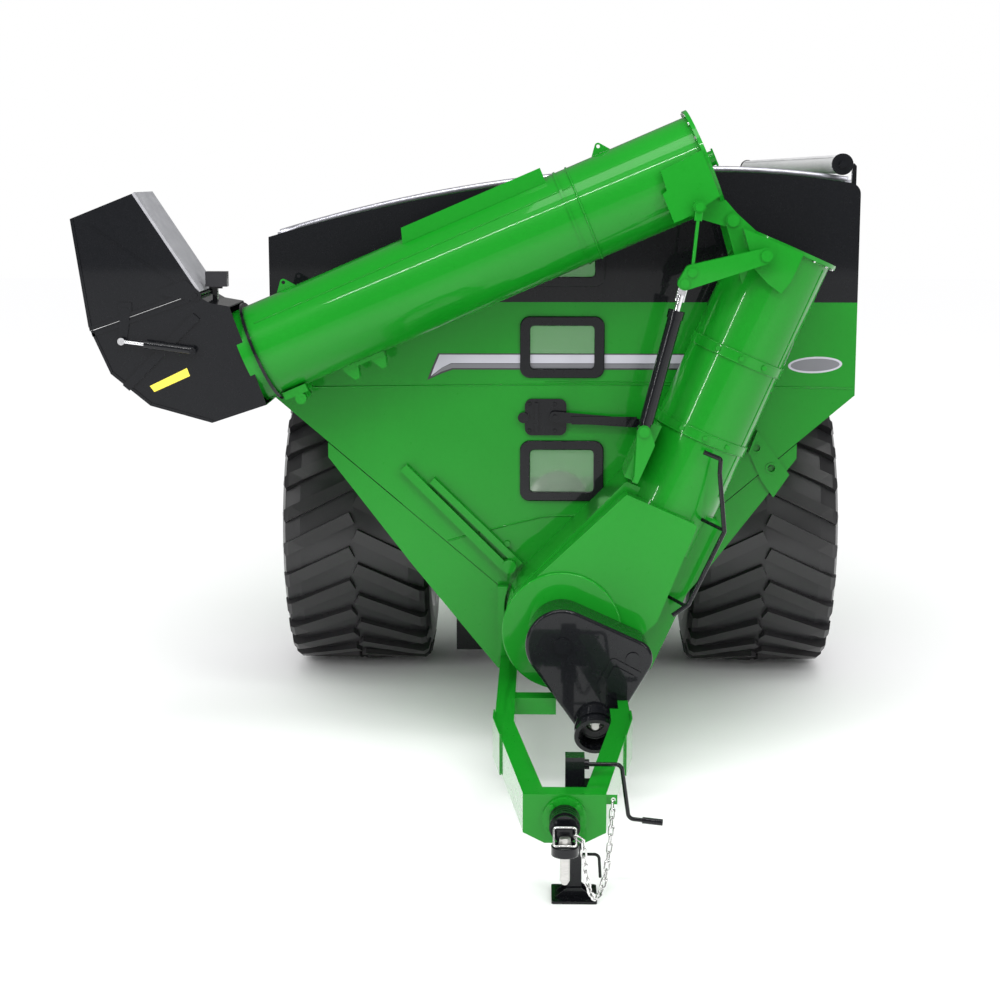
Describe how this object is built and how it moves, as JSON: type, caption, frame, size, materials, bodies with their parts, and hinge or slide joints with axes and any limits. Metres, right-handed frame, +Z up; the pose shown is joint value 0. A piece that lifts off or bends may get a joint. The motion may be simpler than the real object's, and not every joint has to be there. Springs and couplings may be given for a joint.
{
  "type": "grain cart",
  "caption": "Single-axle tractor-drawn grain cart: hopper tank with black extensions, front corner auger that folds across the tank, hinged spout, jack and hitch.",
  "frame": {"origin": "on the hitch pin axis, middle of its free lower end, 375 mm above the ground", "axes": "+Z up, +Y from the hitch back to the tank, +X to the right seen from the front"},
  "size_m": [4.9405, 8.948, 4.078],
  "materials": {
    "green_paint": "gloss",
    "black_paint": "gloss",
    "bare_steel": "satin",
    "zinc_chain": "bright zinc",
    "rim_paint": "gloss",
    "tyre": "moulded",
    "tarp": "woven",
    "window": "clear",
    "lamp_red": "gloss",
    "chrome": "polished",
    "liner": "satin",
    "lamp_body": "gloss"
  },
  "bodies": {
    "cart": {"hitch_barrel": "black_paint", "hitch_eye": "black_paint", "safety_chain": "zinc_chain", "tongue": "green_paint", "jack_housing": "black_paint", "axle": "black_paint", "front_sheet": "green_paint", "front_extension": "black_paint", "hopper_slopes": "green_paint", "tank_sides": "green_paint", "frame_rails": "green_paint", "support_bulkheads": "green_paint", "roof_bows": "bare_steel", "tarp_roll": "tarp", "tarp_tube": "black_paint", "side_extensions": "black_paint", "window_frames": "black_paint", "window_panes": "window", "rear_sheet": "green_paint", "rear_lamps": "lamp_red", "lower_housing": "green_paint", "lower_tube": "green_paint", "hinge_pin": "green_paint", "lower_brackets": "green_paint", "drive_cover": "black_paint", "input_shield": "black_paint", "drive_case": "black_paint", "drive_chain": "bare_steel", "front_bracket": "black_paint", "hose_rod": "black_paint", "front_fittings": "green_paint"},
    "hitch_pin": {"hitch_pin": "bare_steel"},
    "jack_leg": {"jack_leg": "black_paint"},
    "jack_crank": {"jack_crank": "black_paint"},
    "jack_lock_pin": {"jack_lock_pin": "black_paint"},
    "wheel_left": {"wheel_rim_left": "rim_paint", "wheel_hub_left": "rim_paint", "tyre_left": "tyre"},
    "wheel_right": {"wheel_rim_right": "rim_paint", "wheel_hub_right": "rim_paint", "tyre_right": "tyre"},
    "lower_auger": {"lower_auger": "bare_steel"},
    "fold_link": {"fold_link": "green_paint"},
    "tie_link": {"tie_link": "green_paint"},
    "fold_barrel": {"fold_barrel": "black_paint"},
    "fold_rod": {"fold_rod": "chrome"},
    "upper_auger_tube": {"upper_tube": "green_paint", "upper_brackets": "green_paint", "upper_fittings": "green_paint", "spout_elbow": "black_paint"},
    "upper_auger": {"upper_auger": "green_paint"},
    "spout_hood": {"spout_hood": "black_paint", "hood_liner": "liner"},
    "spout_barrel": {"spout_barrel": "black_paint"},
    "spout_rod": {"spout_rod": "chrome"},
    "work_light": {"work_light": "lamp_body"},
    "input_shaft": {"input_shaft": "bare_steel"},
    "horizontal_auger": {"horizontal_auger": "bare_steel"},
    "chain_idler": {"chain_idler": "bare_steel"},
    "bracket_arm": {"bracket_arm": "black_paint"}
  },
  "joints": [
    {"name": "hitch_pin_slide", "type": "slide", "parent": "cart", "child": "hitch_pin", "axis": [0, 0, 1], "range_m": [0, 0.18]},
    {"name": "jack_crank_turn", "type": "hinge", "parent": "cart", "child": "jack_crank", "pos_m": [0.055, 0.61, 0.335], "axis": [1, 0, 0], "range_deg": [0, 5040]},
    {"name": "jack_leg_slide", "type": "slide", "parent": "cart", "child": "jack_leg", "axis": [0, 0, 1], "range_m": [0, 0.1401]},
    {"name": "jack_lock_pin_slide", "type": "slide", "parent": "jack_leg", "child": "jack_lock_pin", "axis": [1, 0, 0], "range_m": [0, 0.08]},
    {"name": "left_wheel_spin", "type": "hinge", "parent": "cart", "child": "wheel_left", "pos_m": [-1.48, 5.64, 0.715], "axis": [1, 0, 0], "continuous": true},
    {"name": "right_wheel_spin", "type": "hinge", "parent": "cart", "child": "wheel_right", "pos_m": [1.48, 5.64, 0.715], "axis": [1, 0, 0], "continuous": true},
    {"name": "horizontal_auger_spin", "type": "hinge", "parent": "cart", "child": "horizontal_auger", "pos_m": [0, 2.6, 0.6], "axis": [0, 1, 0], "continuous": true},
    {"name": "input_spin", "type": "hinge", "parent": "cart", "child": "input_shaft", "pos_m": [0.195, 1.995, 0.144], "axis": [0, 1, 0], "continuous": true},
    {"name": "idler_spin", "type": "hinge", "parent": "cart", "child": "chain_idler", "pos_m": [0.415, 2.247, 0.523], "axis": [0, 1, 0], "continuous": true},
    {"name": "lower_auger_spin", "type": "hinge", "parent": "cart", "child": "lower_auger", "pos_m": [1.34465, 2.78, 2.90627], "axis": [-0.3987, 0, -0.9171], "continuous": true},
    {"name": "auger_fold", "type": "hinge", "parent": "cart", "child": "upper_auger_tube", "pos_m": [0.998, 2.78, 3.057], "axis": [0, 1, 0], "range_deg": [0, 136.6]},
    {"name": "upper_auger_spin", "type": "hinge", "parent": "upper_auger_tube", "child": "upper_auger", "pos_m": [0.8497, 2.78, 3.40469], "axis": [-0.9198, 0, -0.3923], "continuous": true},
    {"name": "link_swing", "type": "hinge", "parent": "cart", "child": "fold_link", "pos_m": [1.179, 2.4, 2.858], "axis": [0, 1, 0], "range_deg": [0, 50.3]},
    {"name": "tie_swing", "type": "hinge", "parent": "fold_link", "child": "tie_link", "pos_m": [0.749, 2.4, 2.761], "axis": [0, 1, 0], "range_deg": [0, 31.7]},
    {"name": "barrel_swing", "type": "hinge", "parent": "cart", "child": "fold_barrel", "pos_m": [0.48, 2.4, 1.823], "axis": [0, 1, 0], "range_deg": [-2.6, 0]},
    {"name": "fold_rod_slide", "type": "slide", "parent": "fold_barrel", "child": "fold_rod", "axis": [0.2503, 0, 0.9682], "range_m": [0, 0.4218]},
    {"name": "spout_tilt", "type": "hinge", "parent": "upper_auger_tube", "child": "spout_hood", "pos_m": [-2.19, 2.78, 2.615], "axis": [0, 1, 0], "range_deg": [0, 20]},
    {"name": "spout_barrel_swing", "type": "hinge", "parent": "upper_auger_tube", "child": "spout_barrel", "pos_m": [-2.214, 2.78, 2.29], "axis": [0, 1, 0], "range_deg": [0, 17.25]},
    {"name": "spout_rod_slide", "type": "slide", "parent": "spout_barrel", "child": "spout_rod", "axis": [-0.9918, 0, 0.1281], "range_m": [0, 0.111]},
    {"name": "work_light_tilt", "type": "hinge", "parent": "upper_auger_tube", "child": "work_light", "pos_m": [-2.085, 2.7, 2.705], "axis": [0, 1, 0], "range_deg": [-25, 25]},
    {"name": "bracket_arm_swing", "type": "hinge", "parent": "cart", "child": "bracket_arm", "pos_m": [-0.045, 3.09, 1.821], "axis": [0, 1, 0], "range_deg": [-60, 20]}
  ],
  "couplings": [
    {"joint": "jack_leg_slide", "follows": "jack_crank_turn", "m_per_rad": 0.0015915},
    {"joint": "input_spin", "follows": "horizontal_auger_spin", "ratio": 2.2222},
    {"joint": "idler_spin", "follows": "horizontal_auger_spin", "ratio": 2.6667},
    {"joint": "lower_auger_spin", "follows": "horizontal_auger_spin", "ratio": 1},
    {"joint": "link_swing", "follows": "auger_fold", "ratio": 0.368},
    {"joint": "tie_swing", "follows": "auger_fold", "ratio": 0.232},
    {"joint": "barrel_swing", "follows": "auger_fold", "ratio": -0.019},
    {"joint": "fold_rod_slide", "follows": "auger_fold", "m_per_rad": 0.1769},
    {"joint": "spout_barrel_swing", "follows": "spout_tilt", "ratio": 0.8615},
    {"joint": "spout_rod_slide", "follows": "spout_tilt", "m_per_rad": 0.31753}
  ]
}
